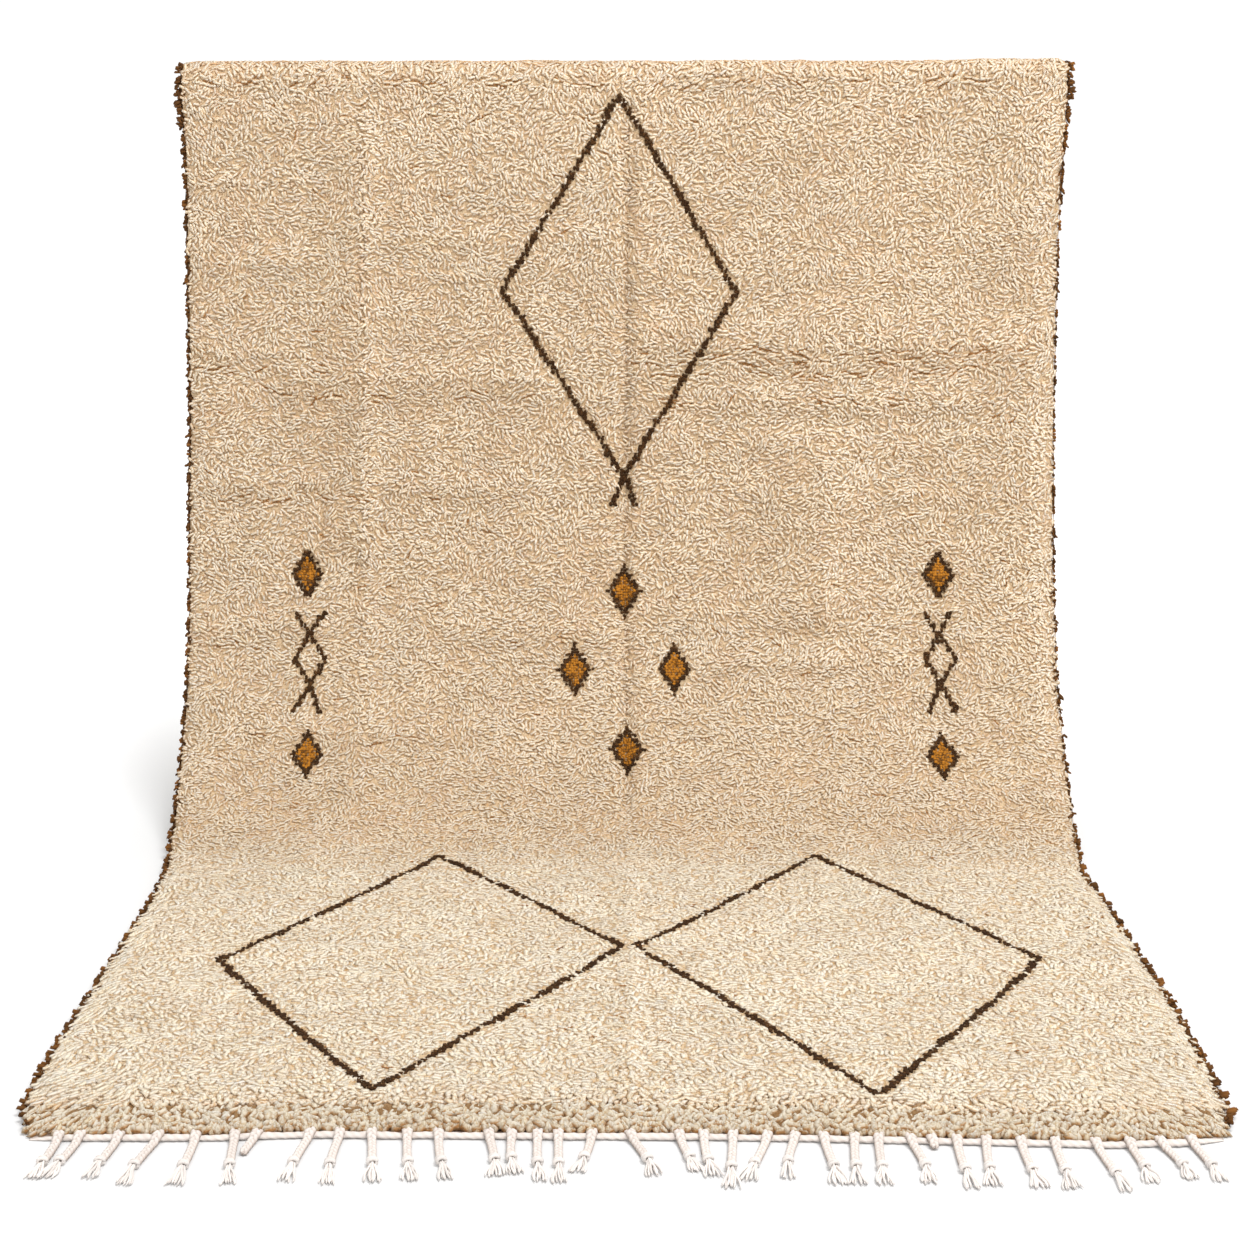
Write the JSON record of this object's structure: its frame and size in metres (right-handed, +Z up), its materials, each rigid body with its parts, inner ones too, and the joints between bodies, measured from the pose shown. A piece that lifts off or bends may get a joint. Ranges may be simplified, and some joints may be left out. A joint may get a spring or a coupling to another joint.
{
  "type": "beni ourain rug",
  "caption": "Cream knotted wool pile rug with dark diamond outlines, brown tufted side edges and a braided cotton fringe, held at its top edge and draped onto the floor.",
  "frame": {"origin": "on the floor, under the middle of the rug's box", "axes": "+X to the right across the rug, +Y from the fringe towards the hanging end, +Z up"},
  "size_m": [1.6338, 1.828, 1.3468],
  "materials": {
    "cream_wool": "matte curly wool pile",
    "brown_wool": "matte wool tufts",
    "white_cotton": "matte twisted cotton"
  },
  "bodies": {
    "root": {"rug_body": "cream_wool", "selvedge_left": "brown_wool", "selvedge_right": "brown_wool", "fringe_front": "white_cotton"}
  },
  "joints": []
}
